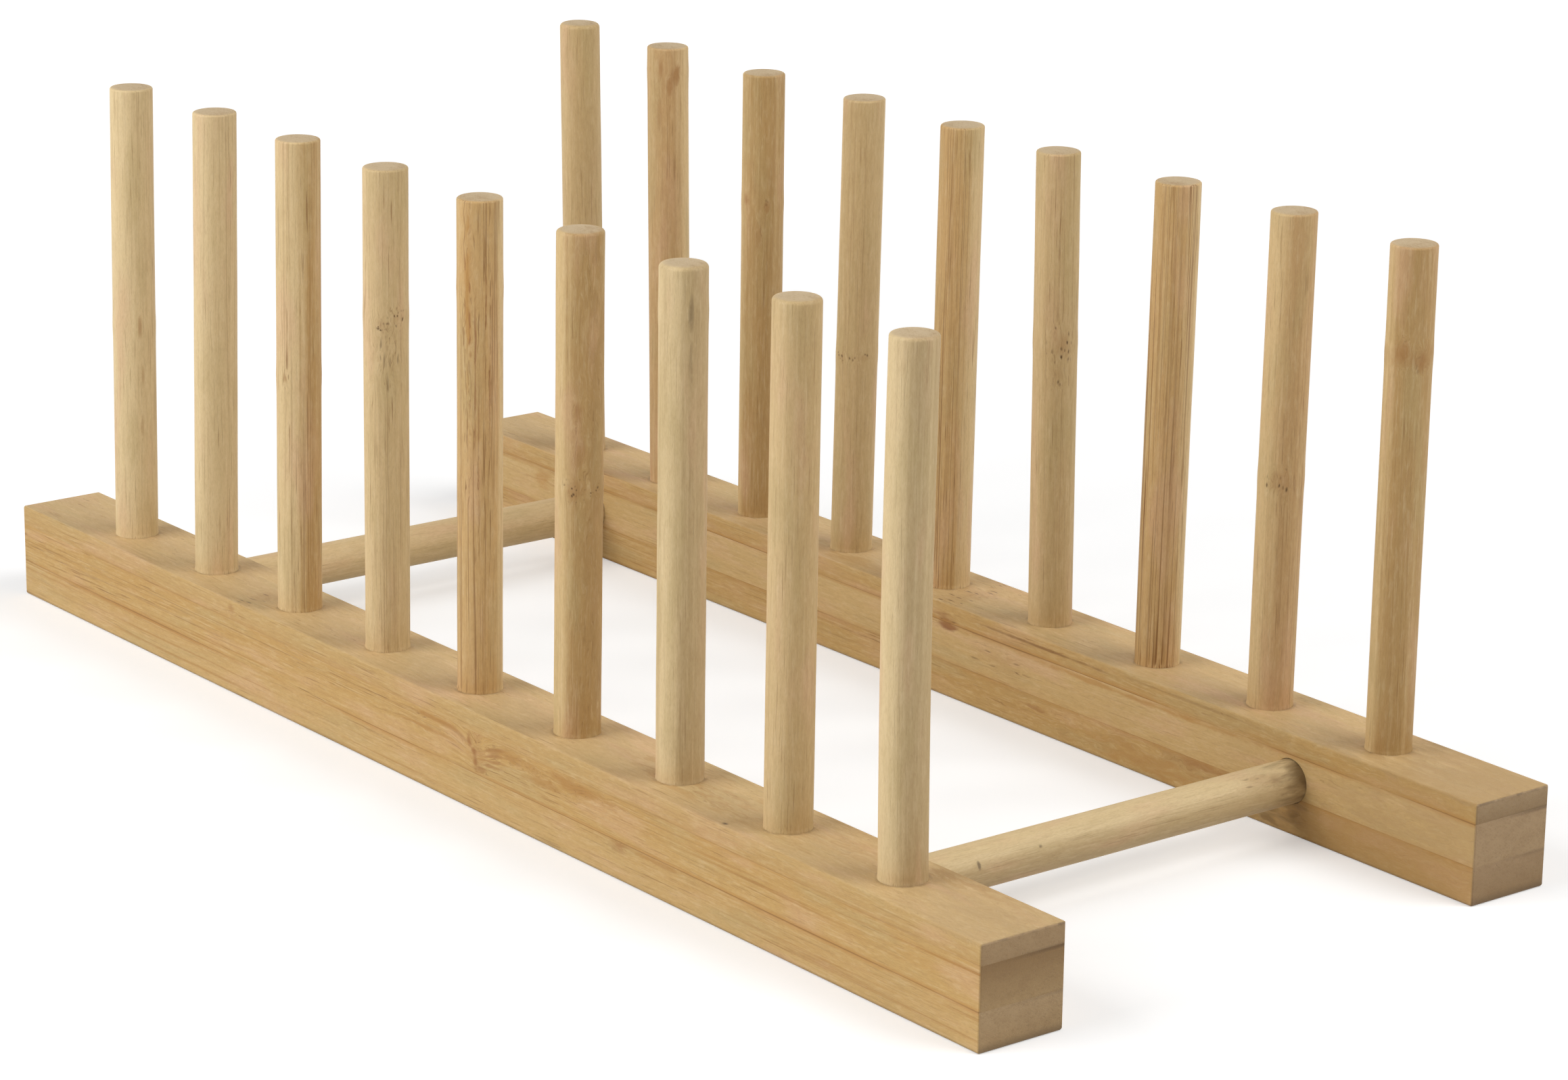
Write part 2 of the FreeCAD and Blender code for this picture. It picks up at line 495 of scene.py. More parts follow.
@dataclass(frozen=True)
class Mark:
    """One mark in the bamboo of a piece, or a patch of painted shade or shadow on it, in the piece's grain
    coordinates and in millimetres.

    Attributes:
        centre: Its middle: two places across the fibres and one along them.
        extent: How far it reaches from there, where 0 is no limit.
        tint: Strength of its stain, from 0 to 1.
        specks: Strength of its dark specks, from 0 to 1.
        stain: Its colour.
        dip: How far the fibres above its middle drop towards it.
        dash: How much longer than wide its specks are.
    """

    centre: tuple[float, float, float]
    extent: tuple[float, float, float]
    tint: float
    specks: float = 0.0
    stain: Colour = STAINS_AND_SHADES.node
    dip: float = 0.0
    dash: float = 1.0

    @property
    def shrink(self) -> tuple[float, ...]:
        """One over the extent along each axis, in 1/m, and 0 where there is no limit."""
        return tuple(1 / (reach * MM) if reach else 0.0 for reach in self.extent)


def spot(
    turn: float,
    height: float,
    width: float,
    reach: float,
    tint: float,
    specks: float = 0.0,
    stain: Colour = STAINS_AND_SHADES.node,
    dash: float = 1.0,
) -> Mark:
    """A mark, or a patch of painted shadow, on one side of a stick, with its lengths in millimetres.

    Args:
        turn: Where it faces, in degrees from the stick's first across direction.
        height: Its place along the stick.
        width: Half its width.
        reach: Half its length along the stick.
        tint: Strength of its stain.
        specks: Strength of its specks.
        stain: Its colour.
        dash: How much longer than wide its specks are.

    Returns:
        The mark.
    """
    angle = math.radians(turn)
    radius = PEG_RADIUS / MM
    centre = (radius * math.cos(angle), radius * math.sin(angle), height)
    return Mark(centre, (width, width, reach), tint, specks, stain, dash=dash)


class Finish:
    """A bamboo material under construction: one Principled BSDF fed by the shared effects."""

    BUMP_DEPTH = 0.12 * MM
    BUMP_STRENGTH = 0.5
    IOR = 1.4

    def __init__(self, name: str, effects: BambooEffects, seed: float) -> None:
        """Makes the material.

        Args:
            name: The material's name.
            effects: The shared node groups.
            seed: Picks the material's own pattern.
        """
        self.material = bpy.data.materials.new(name)
        self.material.use_nodes = True
        self.effects = effects
        self.seed = seed
        self.wiring = Wiring(self.material.node_tree)
        self.shader = self.material.node_tree.nodes["Principled BSDF"]

    def effect(self, tree: bpy.types.NodeTree, grain: Socket, **values: Value) -> Outputs:
        """Places a shared group, with the material's seed and other values by name, and gives its outputs."""
        inputs = {"Grain": grain, "Seed": self.seed, **values}
        return self.wiring.node("ShaderNodeGroup", inputs, node_tree=tree).outputs

    def bamboo(
        self,
        grain: Socket,
        skin: Socket,
        lines: Value,
        tone: tuple[Value, Value],
        marks: tuple[Mark, ...],
        bands: float = 0.0,
    ) -> tuple[Socket, Socket, Socket]:
        """Fibres with the piece's marks in them.

        Args:
            grain: Place in metres, Z along the fibres.
            skin: How dense the bamboo is there, from 0 to 1.
            lines: Strength of the dark bundles.
            tone: The pale and the dense colour.
            marks: The piece's marks.
            bands: Strength of the long amber lines.

        Returns:
            Colour, roughness and height sockets.
        """
        w = self.wiring
        found = []
        for mark in marks:
            centre = tuple(place * MM for place in mark.centre)
            values = {"Centre": centre, "Shrink": mark.shrink, "Dip": mark.dip * MM, "Dash": mark.dash}
            found.append(self.effect(self.effects.mark, grain, **values))
            grain = found[-1]["Bent"]
        values = {"Skin": skin, "Lines": lines, "Bands": bands, "Pale": tone[0], "Dense": tone[1]}
        fibres = self.effect(self.effects.fibres, grain, **values)
        colour, height = fibres["Color"], fibres["Height"]
        for mark, outputs in zip(marks, found):
            colour = w.stained(colour, mark.stain, outputs["Stain"], mark.tint)
            specks = w.times(outputs["Specks"], mark.specks)
            colour = w.stained(colour, STAINS_AND_SHADES.pit, specks)
            height = w.ramp(specks, -0.7, height)
        return colour, fibres["Roughness"], height

    def finish(self, colour: Socket, roughness: Socket, height: Socket) -> bpy.types.Material:
        """Joins the results to the shader.

        Args:
            colour: Base colour.
            roughness: Roughness.
            height: Relief for the bump.

        Returns:
            The finished material.
        """
        inputs = {"Strength": self.BUMP_STRENGTH, "Distance": self.BUMP_DEPTH, "Height": height}
        bump = self.wiring.node("ShaderNodeBump", inputs)
        self.wiring.feed(self.shader.inputs["Base Color"], colour)
        self.wiring.feed(self.shader.inputs["Roughness"], roughness)
        self.wiring.feed(self.shader.inputs["Normal"], bump.outputs["Normal"])
        self.shader.inputs["IOR"].default_value = self.IOR
        return self.material


@dataclass(frozen=True)
class StickShape:
    """A bamboo stick that replaces a turned dowel. Lengths are in metres.

    Attributes:
        foot: Centre of the end that sits in the socket.
        axes: Rows are the two directions across the stick and the one along it.
        length: From end to end.
        radius: Nominal radius.
        straight: Length at the foot that stays straight, in the socket.
        lead: Chamfer on the ends that sit in sockets.
        top_round: Round at the free end, or 0 where both ends sit in sockets.
        lean: How far the free end stands off the straight line, along the frame's axes.
        bow: How far the middle bulges, along the frame's axes.
        swell: Height of the swelling at a node, and the node's place along the stick.
        seed: Picks the section's irregularity.
    """

    foot: np.ndarray
    axes: np.ndarray
    length: float
    radius: float
    straight: float
    lead: float
    top_round: float
    lean: np.ndarray
    bow: np.ndarray
    swell: tuple[float, float]
    seed: int

    COLUMNS = 72
    SHAFT_ROWS = 72
    MOUTH_ROWS = 9
    ROUND_ROWS = 9
    END_ROWS = 6
    OVAL = 0.012
    WAVE = 0.006
    SWELL_REACH = 2.4 * MM
    GLUE_BEAD = 0.1 * MM
    BEAD_REACH = 0.5 * MM
    BLEND = 2 * MM  # from the socket to the full irregular section
    DOME = 0.1 * MM
    LEAST_ROUND = 0.3 * MM  # stands in for a round of 0
    END_START = 0.3  # where the end grain begins, in rounds inside the outline
    TWIST = (6, 40, -75, 230)  # radians per metre, of the oval, both waves and the ripple

    def shaft(self, end: float) -> np.ndarray:
        """Distances of the shaft's rows: evenly spaced, with closer ones at the socket's mouth.

        Args:
            end: Where the shaft ends.

        Returns:
            The distances, past the foot's chamfer.
        """
        even = np.linspace(self.lead, end, self.SHAFT_ROWS)[1:]
        mouth = self.straight + self.BEAD_REACH * np.linspace(-2, 2, self.MOUTH_ROWS)
        return np.union1d(even, mouth)

    def profile(self) -> tuple[np.ndarray, np.ndarray]:
        """Half profile from the foot to the far end: radius and distance along the stick.

        A chamfer at the foot, evenly spaced rows on the shaft, then a quarter ellipse and a slightly
        domed end where the end is free, or a second chamfer where it is not.

        Returns:
            Radii and distances along the stick, one value for each row.
        """
        full, far = self.radius, self.length
        foot_radius = np.array([full - self.lead, full])
        foot_along = np.array([0.0, self.lead])
        if self.top_round == 0:
            shaft = self.shaft(far - self.lead)
            radii = np.concatenate([foot_radius, np.full(shaft.size, full), [full - self.lead]])
            return radii, np.concatenate([foot_along, shaft, [far]])
        shaft = self.shaft(far - self.top_round)
        turn = np.linspace(0, np.pi / 2, self.ROUND_ROWS)[1:]
        round_radius = full - self.top_round * (1 - np.cos(turn))
        round_along = far - self.top_round * (1 - np.sin(turn))
        end_radius = np.linspace(full - self.top_round, 0, self.END_ROWS)[1:-1]
        dome = self.DOME * (1 - (end_radius / full) ** 2)
        radii = np.concatenate([foot_radius, np.full(shaft.size, full), round_radius, end_radius])
        return radii, np.concatenate([foot_along, shaft, round_along, far + dome])

    def section(self, angle: np.ndarray, along: np.ndarray) -> np.ndarray:
        """Radius as a share of the nominal one: oval, with slow waves, a node's swelling and a bead of glue.

        Past the socket it is one plus a cosine of twice the angle, cosines of higher orders that turn
        slowly along the stick, and a bell curve at the node. A second bell curve fills the gap at the
        socket's mouth.

        Args:
            angle: Angle round the stick.
            along: Distance along the stick.

        Returns:
            The share, near 1.
        """
        phase = np.random.default_rng(self.seed).uniform(0, 2 * np.pi, 5)
        twist = [rate * along + start for rate, start in zip(self.TWIST, phase)]
        oval = self.OVAL * np.cos(2 * angle + twist[0])
        wave = np.cos(3 * angle + twist[1]) + np.cos(5 * angle + twist[2])
        ripple = np.cos(twist[3]) * np.cos(angle + phase[4])
        height, place = self.swell
        swell = height / self.radius * np.exp(-((along - place) / self.SWELL_REACH) ** 2)
        share = 1 + oval + self.WAVE * (wave + ripple) / 2 + swell
        past_socket = np.clip((along - self.straight) / self.BLEND, 0, 1)
        bead = self.GLUE_BEAD / self.radius * np.exp(-((along - self.straight) / self.BEAD_REACH) ** 2)
        return 1 + (share - 1) * past_socket + bead

    def surface(self) -> tuple[np.ndarray, np.ndarray, np.ndarray]:
        """Points of the stick: a profile turned about a line that leans and bows past the socket.

        Returns:
            Points, their straightened places as (across, across, along past the socket), and 1 where a
            point is on the free end.
        """
        radii, distances = self.profile()
        angle, along = np.meshgrid(np.linspace(0, 2 * np.pi, self.COLUMNS, endpoint=False), distances)
        radius = radii[:, None] * self.section(angle, along)
        across = np.stack([radius * np.cos(angle), radius * np.sin(angle)], axis=-1)
        poles = np.array([[0.0, 0.0, distances[0]], [0.0, 0.0, distances[-1]]])
        local = np.concatenate([np.concatenate([across, along[..., None]], axis=-1).reshape(-1, 3), poles])
        free = np.clip((local[:, 2:] - self.straight) / (self.length - self.straight), 0, 1)
        points = self.foot + local @ self.axes + free * self.lean + 4 * free * (1 - free) * self.bow
        grain = local - np.array([0.0, 0.0, self.straight])
        inside = (self.radius - np.hypot(local[:, 0], local[:, 1])) / max(self.top_round, self.LEAST_ROUND)
        on_end = np.clip(inside - self.END_START, 0, 1) * (local[:, 2] > self.length / 2)
        return points, grain, on_end.astype(np.float32)

    def faces(self) -> list:
        """Quads between neighbouring rows, and a fan of triangles at each end.

        Returns:
            Faces as lists of point numbers, pointing outwards.
        """
        rows = self.profile()[0].size
        number = np.arange(rows * self.COLUMNS).reshape(rows, self.COLUMNS)
        beside = np.roll(number, -1, axis=1)
        quads = np.stack([number[:-1], beside[:-1], beside[1:], number[1:]], axis=-1).reshape(-1, 4)
        first_pole = np.full(self.COLUMNS, number.size)
        foot_fan = np.stack([first_pole, beside[0], number[0]], axis=-1)
        far_fan = np.stack([first_pole + 1, number[-1], beside[-1]], axis=-1)
        return quads.tolist() + foot_fan.tolist() + far_fan.tolist()

    def build(self, name: str) -> bpy.types.Object:
        """Makes the mesh object, with the attributes grain and free_end.

        Args:
            name: The object's name.

        Returns:
            The new object, at the origin.
        """
        points, grain, on_end = self.surface()
        mesh = bpy.data.meshes.new(name)
        mesh.from_pydata(points.tolist(), [], self.faces())
        mesh.attributes.new("grain", "FLOAT_VECTOR", "POINT").data.foreach_set("vector", grain.ravel())
        mesh.attributes.new("free_end", "FLOAT", "POINT").data.foreach_set("value", on_end)
        mesh.shade_smooth()
        mesh.update()
        return placed(name, mesh)


@dataclass(frozen=True)
class StickLook:
    """How one stick looks. Lengths are in millimetres.

    Attributes:
        tone: Its pale and dense colours.
        skin_turn: Where its dense side faces, in degrees from its first across direction.
        skin_edge: Where across the stick the dense side begins, from -1 to 1.
        lines: Strength of its dark fibre bundles.
        skin_soft: How gradually the dense side begins.
        lean: How far its free end stands off, along its two across directions.
        bow: How far its middle bulges, along the same.
        marks: Its marks, by their height above the socket.
        top_round: Round at its free end.
        stand: How much farther than the solid its free end stands out.
    """

    tone: Tone
    skin_turn: float = -38.0
    skin_edge: float = 0.3
    lines: float = 0.3
    skin_soft: float = 0.5
    lean: tuple[float, float] = (0.0, 0.0)
    bow: tuple[float, float] = (0.0, 0.0)
    marks: tuple[Mark, ...] = ()
    top_round: float = 0.5
    stand: float = 0.0


class StickFinish(Finish):
    """Sanded bamboo dowel: fibres along the stick, denser on one side, end grain on the free end."""

    def dress(self, look: StickLook, radius: float) -> bpy.types.Material:
        """Builds the material for one stick.

        Args:
            look: The stick's look.
            radius: The stick's radius in metres.

        Returns:
            The material.
        """
        w = self.wiring
        grain = w.node("ShaderNodeAttribute", {}, attribute_name="grain").outputs["Vector"]
        on_end = w.node("ShaderNodeAttribute", {}, attribute_name="free_end").outputs["Fac"]
        turn = math.radians(look.skin_turn)
        towards_skin = (math.cos(turn) / radius, math.sin(turn) / radius, 0.0)
        inputs = {0: grain, 1: towards_skin}
        side = w.node("ShaderNodeVectorMath", inputs, operation="DOT_PRODUCT").outputs["Value"]
        skin = w.rise(side, look.skin_edge - look.skin_soft, look.skin_edge + look.skin_soft)
        tone = (look.tone.pale.linear(), look.tone.dense.linear())
        colour, roughness, height = self.bamboo(grain, skin, look.lines, tone, look.marks)
        cut = {"Pale": STAINS_AND_SHADES.cut_pale.linear(), "Dense": STAINS_AND_SHADES.cut_dark.linear()}
        ends = self.effect(self.effects.end_grain, grain, Skin=w.times(skin, 0.4), Contrast=1.0, **cut)
        return self.finish(w.mixed(on_end, colour, ends["Color"]), roughness, height)


@dataclass(frozen=True)
class PegRow:
    """The pegs of one rail, each a stick of its own. Lengths are in metres.

    Attributes:
        side: The rail's name, front or rear.
        looks: One look for each peg, from the left end.
        first_seed: Seed of the row's first peg, less one.
        lead: Chamfer at a peg's foot.
        swell: Height of the swelling at a node.
    """

    side: str
    looks: tuple[StickLook, ...]
    first_seed: int
    lead: float = 0.8 * MM
    swell: float = 0.09 * MM

    def build(self, effects: BambooEffects) -> None:
        """Makes, dresses and seats every peg of the row.

        Args:
            effects: The shared node groups.
        """
        rail_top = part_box(f"{self.side}_rail_face_strip")[1].z
        for number, look in enumerate(self.looks, start=1):
            node = f"{self.side}_peg_{number}"
            seed = self.first_seed + number
            low, high = corners(node)
            radius = (high[0] - low[0]) / 2
            straight = rail_top - low[2]
            shape = StickShape(
                foot=np.array([*(low[:2] + high[:2]) / 2, low[2]]),
                axes=np.eye(3),
                length=high[2] - low[2] + look.stand * MM,
                radius=radius,
                straight=straight,
                lead=self.lead,
                top_round=look.top_round * MM,
                lean=np.array([*look.lean, 0.0]) * MM,
                bow=np.array([*look.bow, 0.0]) * MM,
                swell=(self.swell, straight + look.marks[0].centre[2] * MM) if look.marks else (0.0, 0.0),
                seed=seed,
            )
            peg = shape.build(f"{node}_stick")
            peg.data.materials.append(StickFinish(f"{node}_bamboo", effects, float(seed)).dress(look, radius))
            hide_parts(node)
            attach(peg, BODY)
            LOG.info("peg %s", peg.name)


@dataclass(frozen=True)
class Spreaders:
    """The two dowels that hold the rails apart. Lengths are in metres.

    Attributes:
        looks: The look of each spreader, by side.
        first_seed: Seed of the first spreader.
        lead: Chamfer at a spreader's ends.
    """

    looks: dict[str, StickLook]
    first_seed: int
    lead: float = 0.8 * MM

    ALONG_Y = np.array([[0.0, 0.0, 1.0], [1.0, 0.0, 0.0], [0.0, 1.0, 0.0]])

    def build(self, effects: BambooEffects) -> None:
        """Makes, dresses and seats both spreaders.

        Args:
            effects: The shared node groups.
        """
        inner_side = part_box("front_rail_core_strip")[1].y
        for seed, (side, look) in enumerate(self.looks.items(), start=self.first_seed):
            node = f"{side}_spreader"
            low, high = corners(node)
            radius = (high[0] - low[0]) / 2
            centre = (low + high) / 2
            shape = StickShape(
                foot=np.array([centre[0], low[1], centre[2]]),
                axes=self.ALONG_Y,
                length=high[1] - low[1],
                radius=radius,
                straight=inner_side - low[1],
                lead=self.lead,
                top_round=0.0,
                lean=np.zeros(3),
                bow=np.zeros(3),
                swell=(0.0, 0.0),
                seed=seed,
            )
            spreader = shape.build(f"{node}_stick")
            material = StickFinish(f"{node}_bamboo", effects, float(seed)).dress(look, radius)
            spreader.data.materials.append(material)
            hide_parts(node)
            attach(spreader, BODY)
            LOG.info("spreader %s", spreader.name)


@dataclass(frozen=True)
class StripLook:
    """How one strip of a rail looks.

    Attributes:
        pale: Colour of its pith side.
        dense: Colour of its skin side.
        skin_up: Whether its skin side faces up.
        lines: Strength of its dark fibre bundles.
        bands: Strength of its long amber lines.
        marks: Its marks, by their places along Y, Z and X in millimetres.
        sawn: Colours of its sawn ends, at the lower and at the upper glue line.
    """

    pale: Colour
    dense: Colour
    skin_up: bool
    lines: float
    bands: float
    marks: tuple[Mark, ...]
    sawn: tuple[Colour, Colour]


class StripFinish(Finish):
    """Planed strip in a laminated rail: fibres along X, glue lines, sawn ends, dirt round the holes, and a
    foot darkened by dirt and painted contact shade.

    Each pair is where a smooth step begins and ends, in metres.
    """

    GLUE_LINE = (0.05 * MM, 0.22 * MM)
    GLUE_STAIN = (0.1 * MM, 1.1 * MM)
    FLAT_GRAIN = (0.2 * MM, 0.03 * MM)
    # Dirt and painted contact shade along the foot of each strip's side.
    FOOT_SOIL_AND_SHADE = (0.15 * MM, 0.8 * MM)
    END_DEPTH = (0.32 * MM, 0.1 * MM)
    END_GLUE = (0.05 * MM, 0.7 * MM)
    END_GLUE_SIDE = (-8 * MM, 10 * MM)
    END_GLUE_DROP = 0.2 * MM  # how far under a glue line its dark trace on the end lies
    END_TOP = (0.15 * MM, 0.8 * MM)
    # Dirt and painted contact shade at the foot of a sawn end.
    END_FOOT_SOIL_AND_SHADE = (0.2 * MM, 2.2 * MM)
    HOLE_SOIL = (0.1 * MM, 0.9 * MM)
    LAST_HOLES = (4.4 * PEG_PITCH, 4.5 * PEG_PITCH)
    CALM = (0.03, 0.15)  # along the rail, where the dark lines grow fainter

    def dress(
        self,
        look: StripLook,
        low: np.ndarray,
        high: np.ndarray,
        rail_top: float,
        glue: tuple[float, float],
        planed: tuple[Colour, Colour],
    ) -> bpy.types.Material:
        """Builds the material for one strip.

        Args:
            look: The strip's look.
            low: The strip's lowest corner.
            high: The strip's highest corner.
            rail_top: Height of the rail's top.
            glue: Strength of the rail's lower and upper glue line.
            planed: Pale and dense colour of the rail's planed top.

        Returns:
            The material.
        """
        w = self.wiring
        place = w.node("ShaderNodeTexCoord", {}).outputs["Object"]
        x, y, z = w.parts(place)
        grain = w.joined(y, z, x)
        share = w.node("ShaderNodeMapRange", {0: z, 1: low[2], 2: high[2]}).outputs[0]
        skin = share if look.skin_up else w.math("SUBTRACT", 1.0, share)
        skin = w.times(skin, 0.8)
        lines = w.ramp(w.rise(x, *self.CALM), -0.6 * look.lines, look.lines)
        on_top = w.rise(z, rail_top - self.FLAT_GRAIN[0], rail_top - self.FLAT_GRAIN[1])
        tone = (
            w.mixed(on_top, look.pale.linear(), planed[0].linear()),
            w.mixed(on_top, look.dense.linear(), planed[1].linear()),
        )
        colour, roughness, height = self.bamboo(grain, skin, lines, tone, look.marks, look.bands)

        soiled = w.noise(w.seeded(grain, self.seed), Waves.SOIL)
        across = w.math("SUBTRACT", y, (low[1] + high[1]) / 2)
        colour = self.holed(colour, x, across, w.times(on_top, w.rise(soiled, 0.35, 0.65)))
        levels = [level for level in (low[2], high[2]) if MM < level < rail_top - MM]
        for level in levels:
            colour = self.glued(colour, z, grain, level, glue[int(level > rail_top / 2)])
        # Darker towards the foot: dirt and painted contact shade where the rail meets the table.
        colour = w.stained(colour, STAINS_AND_SHADES.soil_and_shade, w.fall(z, *self.FOOT_SOIL_AND_SHADE), 0.4)

        pale = w.mixed(share, look.sawn[0].linear(), look.sawn[1].linear())
        cut = {"Skin": 0.35, "Contrast": 0.4, "Pale": pale, "Dense": STAINS_AND_SHADES.sawn.linear()}
        end_colour = self.effect(self.effects.end_grain, grain, **cut)["Color"]
        for level in levels:
            away = w.math("ABSOLUTE", w.math("SUBTRACT", z, level - self.END_GLUE_DROP))
            line = w.times(w.fall(away, *self.END_GLUE), w.rise(across, *self.END_GLUE_SIDE))
            end_colour = w.stained(end_colour, STAINS_AND_SHADES.speck, line, 0.5 if level > rail_top / 2 else 0.25)
        # The sawn end's ragged top edge is wear; its darkening at the foot is dirt and painted contact shade.
        wear_and_foot_shade = w.times(w.fall(w.math("SUBTRACT", rail_top, z), *self.END_TOP), w.rise(soiled, 0.4, 0.6))
        wear_and_foot_shade = w.math("MAXIMUM", wear_and_foot_shade, w.fall(z, *self.END_FOOT_SOIL_AND_SHADE))
        end_colour = w.stained(end_colour, STAINS_AND_SHADES.soil_and_shade, wear_and_foot_shade, 0.5)
        half = (high[0] - low[0]) / 2
        sawn = w.rise(w.math("ABSOLUTE", x), half - self.END_DEPTH[0], half - self.END_DEPTH[1])
        return self.finish(w.mixed(sawn, colour, end_colour), roughness, height)

    def holed(self, colour: Socket, x: Socket, across: Socket, where: Socket) -> Socket:
        """Adds patchy dirt round the peg holes, which lie at whole pitches along the rail.

        Args:
            colour: The strip's colour so far.
            x: Place along the rail.
            across: Place across the rail, from its middle.
            where: Mask of the parts that take soil.

        Returns:
            The new colour.
        """
        w = self.wiring
        from_hole = w.math("WRAP", x, PEG_PITCH / 2, -PEG_PITCH / 2)
        beyond = w.math("SUBTRACT", w.length(w.joined(from_hole, across, 0.0)), PEG_RADIUS + GLUE_GAP)
        inner = w.fall(w.math("ABSOLUTE", x), *self.LAST_HOLES)
        return w.stained(colour, STAINS_AND_SHADES.soil_and_shade, w.times(w.fall(beyond, *self.HOLE_SOIL), where, inner), 0.35)

    def glued(self, colour: Socket, z: Socket, grain: Socket, level: float, strength: float) -> Socket:
        """Adds one glue line: a thin dark line, broken in places, in an amber stain.

        Args:
            colour: The strip's colour so far.
            z: Height.
            grain: Place, Z along the fibres.
            level: Height of the glue line.
            strength: How plain it is, from 0 to 1.

        Returns:
            The new colour.
        """
        w = self.wiring
        away = w.math("ABSOLUTE", w.math("SUBTRACT", z, level))
        patchy = w.noise(w.seeded(grain, self.seed), Waves.GLUE)
        stain = w.times(w.fall(away, *self.GLUE_STAIN), w.rise(patchy, 0.35, 0.6))
        colour = w.stained(colour, STAINS_AND_SHADES.amber, stain, 0.6 * strength)
        line = w.times(w.fall(away, *self.GLUE_LINE), w.rise(patchy, 0.4, 0.65))
        return w.stained(colour, STAINS_AND_SHADES.glue, line, 0.85 * strength)


@dataclass(frozen=True)
class Rail:
    """One laminated rail: three strips that keep their solids and get a finish each.

    Attributes:
        side: The rail's name, front or rear.
        looks: The look of each strip, by layer.
        glue: Strength of its lower and upper glue line.
        planed: Pale and dense colour of its planed top.
        first_seed: Seed of the rail's first strip.
    """

    side: str
    looks: dict[str, StripLook]
    glue: tuple[float, float]
    planed: tuple[Colour, Colour]
    first_seed: int

    def dress(self, effects: BambooEffects) -> None:
        """Gives each strip its bamboo.

        Args:
            effects: The shared node groups.
        """
        rail_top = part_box(f"{self.side}_rail_face_strip")[1].z
        for seed, (layer, look) in enumerate(self.looks.items(), start=self.first_seed):
            node = f"{self.side}_rail_{layer}_strip"
            low, high = corners(node)
            finish = StripFinish(f"{node}_bamboo", effects, float(seed))
            material = finish.dress(look, low, high, rail_top, self.glue, self.planed)
            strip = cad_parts[node]
            strip.data.materials.clear()
            strip.data.materials.append(material)
            LOG.info("strip %s", node)


@dataclass(frozen=True)
class Lamp:
    """One soft lamp, aimed at the middle of the rack.

    Attributes:
        name: Its name.
        direction: From the rack towards the lamp.
        distance: From the rack, in metres.
        size: Width of its square face, in metres.
        share: Light that it gives a surface facing it, where 1 shows a colour as it is written.
    """

    name: str
    direction: tuple[float, float, float]
    distance: float
    size: float
    share: float

    def build(self, target: np.ndarray) -> None:
        """Makes the lamp.

        Args:
            target: The point that it faces.
        """
        light = bpy.data.lights.new(self.name, "AREA")
        light.size = self.size
        light.energy = self.share * math.pi ** 2 * self.distance ** 2
        back = np.array(self.direction) / np.linalg.norm(self.direction)
        placed(self.name, light).matrix_world = aimed(target + back * self.distance, back, 0.0)


def aimed(place: np.ndarray, back: np.ndarray, roll: float) -> Matrix:
    """Matrix of a camera or lamp that looks against back, level but for its roll.

    Args:
        place: Where it stands.
        back: Unit vector from what it looks at towards it.
        roll: Turn about its own axis, in radians.

    Returns:
        Its world matrix.
    """
    right = np.cross([0.0, 0.0, 1.0], back)
    right /= np.linalg.norm(right)
    up = np.cross(back, right)
    turned_right = right * math.cos(roll) + up * math.sin(roll)
    turned_up = up * math.cos(roll) - right * math.sin(roll)
    matrix = np.eye(4)
    matrix[:3, :] = np.stack([turned_right, turned_up, back, place], axis=1)
    return Matrix(matrix.tolist())


